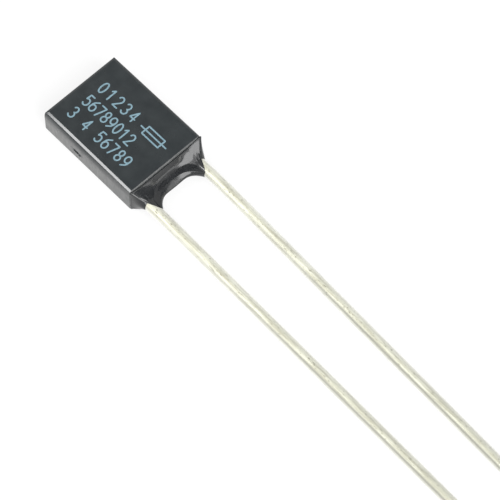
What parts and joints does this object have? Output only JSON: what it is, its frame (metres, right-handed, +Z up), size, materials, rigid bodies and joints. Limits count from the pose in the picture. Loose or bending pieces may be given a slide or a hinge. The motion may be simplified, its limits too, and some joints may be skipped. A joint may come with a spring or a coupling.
{
  "type": "thermal fuse",
  "caption": "Radial thermal fuse: a flat moulded case sealed with resin, with two straight tinned wire leads that leave one end side by side.",
  "frame": {"origin": "centre of the case's underside", "axes": "+X along the leads, from the closed end of the case to the tips; +Z up, out of the printed face; +Y from the left lead to the right lead"},
  "size_m": [0.0482, 0.0078, 0.0027],
  "materials": {
    "case_moulding": "satin black moulding",
    "sealing_resin": "glossy black casting resin",
    "tinned_wire": "bright tinned copper wire",
    "fusible_alloy": "dull low-melting alloy",
    "rosin_flux": "amber rosin"
  },
  "bodies": {
    "root": {"case": "case_moulding", "sealing_resin": "sealing_resin", "lead_left": "tinned_wire", "lead_right": "tinned_wire", "fusible_link": "fusible_alloy", "flux": "rosin_flux"}
  },
  "joints": []
}
